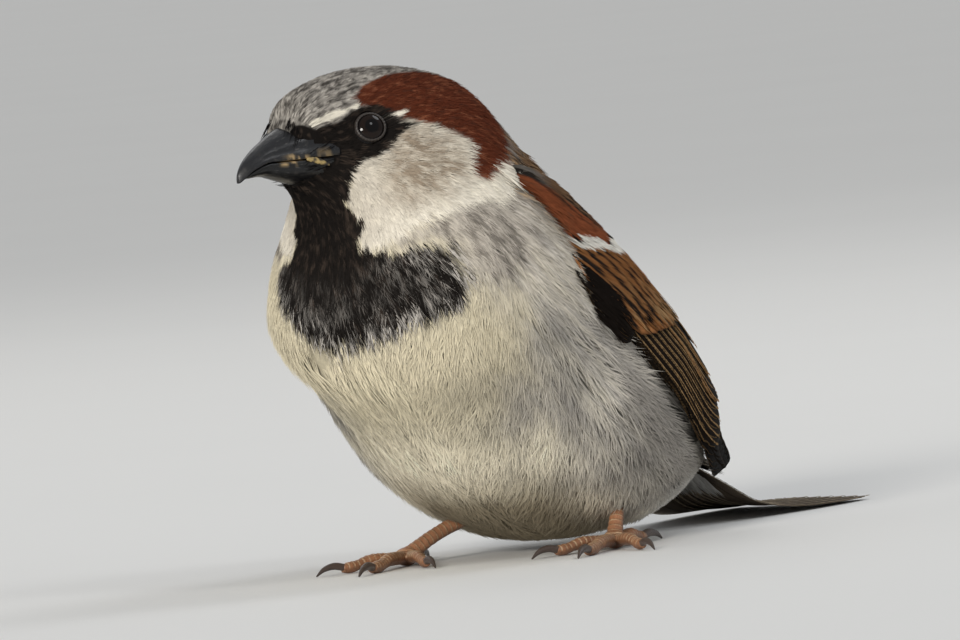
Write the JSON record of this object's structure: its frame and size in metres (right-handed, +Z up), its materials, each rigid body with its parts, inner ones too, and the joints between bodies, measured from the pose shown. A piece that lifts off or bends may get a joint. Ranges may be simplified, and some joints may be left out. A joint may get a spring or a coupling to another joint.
{
  "type": "sparrow",
  "caption": "Still, life-size male house sparrow, standing low on both feet with its feathers fluffed, its head turned to its right and its tail laid back on the floor.",
  "frame": {"origin": "on the floor, under the middle of the bird's outline", "axes": "+Z up, the breast faces -Y, the bird's left side is +X"},
  "size_m": [0.0544, 0.1346, 0.0722],
  "materials": {
    "crown": "soft grey head feathers with chestnut sides and a black mask",
    "neck": "soft pale collar feathers with a black bib",
    "underparts": "long, soft buff-grey body feathers",
    "rump": "soft grey-brown feathers",
    "coverts": "smooth chestnut feathers with a white bar",
    "tertials": "smooth brown feathers with black centres and buff edges",
    "primaries": "smooth dark brown feathers with fine pale edges",
    "tail": "smooth dark brown feathers with paler edges",
    "bill": "slate-black horn with a soft sheen",
    "eye": "dark brown, wet and clear",
    "shank": "scaly orange-brown skin",
    "claw": "dark grey-brown horn"
  },
  "bodies": {
    "root": {"head": "crown", "bill_upper": "bill", "bill_lower": "bill", "eye_left": "eye", "eye_right": "eye", "neck": "neck", "trunk": "underparts", "rump": "rump", "wing_left_coverts": "coverts", "wing_left_tertials": "tertials", "wing_left_primaries": "primaries", "wing_right_coverts": "coverts", "wing_right_tertials": "tertials", "wing_right_primaries": "primaries", "tail": "tail", "shank_left": "shank", "toe_left_inner": "shank", "claw_left_inner": "claw", "toe_left_middle": "shank", "claw_left_middle": "claw", "toe_left_outer": "shank", "claw_left_outer": "claw", "toe_left_hind": "shank", "claw_left_hind": "claw", "shank_right": "shank", "toe_right_inner": "shank", "claw_right_inner": "claw", "toe_right_middle": "shank", "claw_right_middle": "claw", "toe_right_outer": "shank", "claw_right_outer": "claw", "toe_right_hind": "shank", "claw_right_hind": "claw"}
  },
  "joints": []
}
